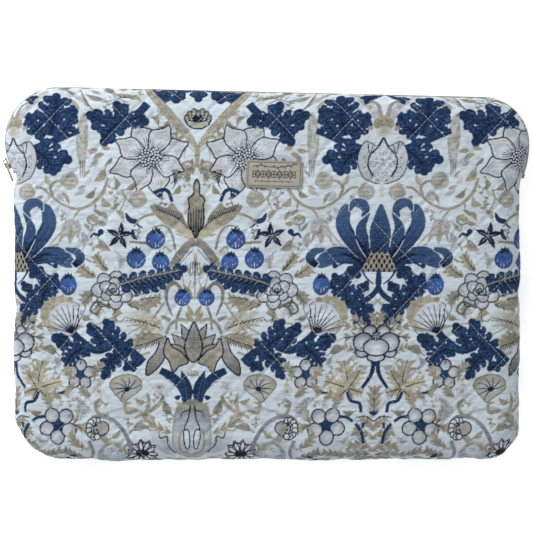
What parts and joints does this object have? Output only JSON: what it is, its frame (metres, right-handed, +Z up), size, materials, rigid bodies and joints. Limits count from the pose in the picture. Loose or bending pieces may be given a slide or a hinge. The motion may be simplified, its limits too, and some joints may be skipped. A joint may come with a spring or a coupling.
{
  "type": "laptop sleeve",
  "caption": "Padded, diamond-quilted fabric laptop sleeve with rounded shoulders, a coil zip round three sides, a folding front flap, a zip slider with pull and a small label.",
  "frame": {"origin": "on the resting face, the outer side of the back panel, under the middle of the sleeve", "axes": "+X to the right along the width, +Y towards the zipped top edge, +Z up out of the front panel; the sleeve lies flat on its back"},
  "size_m": [0.3643, 0.258, 0.0294],
  "materials": {
    "printed_cotton": "matte",
    "wadding": "matte",
    "lining": "matte",
    "binding": "matte",
    "zip_tape": "matte",
    "zip_coil": "satin",
    "zip_metal": "satin",
    "quilting_thread": "matte",
    "label_leather": "matte",
    "label_thread": "matte"
  },
  "bodies": {
    "sleeve_body": {"back_cover": "printed_cotton", "back_padding": "wadding", "back_lining": "lining", "front_cover_lower": "printed_cotton", "front_padding_lower": "wadding", "front_lining_lower": "lining", "seam_binding": "binding", "zip_binding_back": "binding", "zip_tape_back": "zip_tape", "zip_coil_back": "zip_coil", "zip_bottom_stop": "zip_metal", "zip_top_stop_back": "zip_metal", "quilting_thread_lower": "quilting_thread"},
    "front_flap": {"front_cover_upper": "printed_cotton", "front_padding_upper": "wadding", "front_lining_upper": "lining", "zip_binding_front": "binding", "zip_tape_front": "zip_tape", "zip_coil_front": "zip_coil", "zip_top_stop_front": "zip_metal", "quilting_thread_upper": "quilting_thread", "label": "label_leather", "label_stitches": "label_thread"},
    "zip_slider": {"slider_body": "zip_metal", "slider_crown": "zip_metal"},
    "zip_pull": {"pull_tab": "zip_metal"}
  },
  "joints": [
    {"name": "flap_fold", "type": "hinge", "parent": "sleeve_body", "child": "front_flap", "pos_m": [0, 0.053, 0.028], "axis": [1, 0, 0], "range_deg": [0, 90]},
    {"name": "slider_travel", "type": "hinge", "parent": "sleeve_body", "child": "zip_slider", "pos_m": [-0.1435, 0.091, 0.014], "axis": [0, 0, -1], "range_deg": [0, 110]},
    {"name": "pull_swing", "type": "hinge", "parent": "zip_slider", "child": "zip_pull", "pos_m": [-0.18065, 0.07561, 0.014], "axis": [0, 0, -1], "range_deg": [0, 170]}
  ]
}
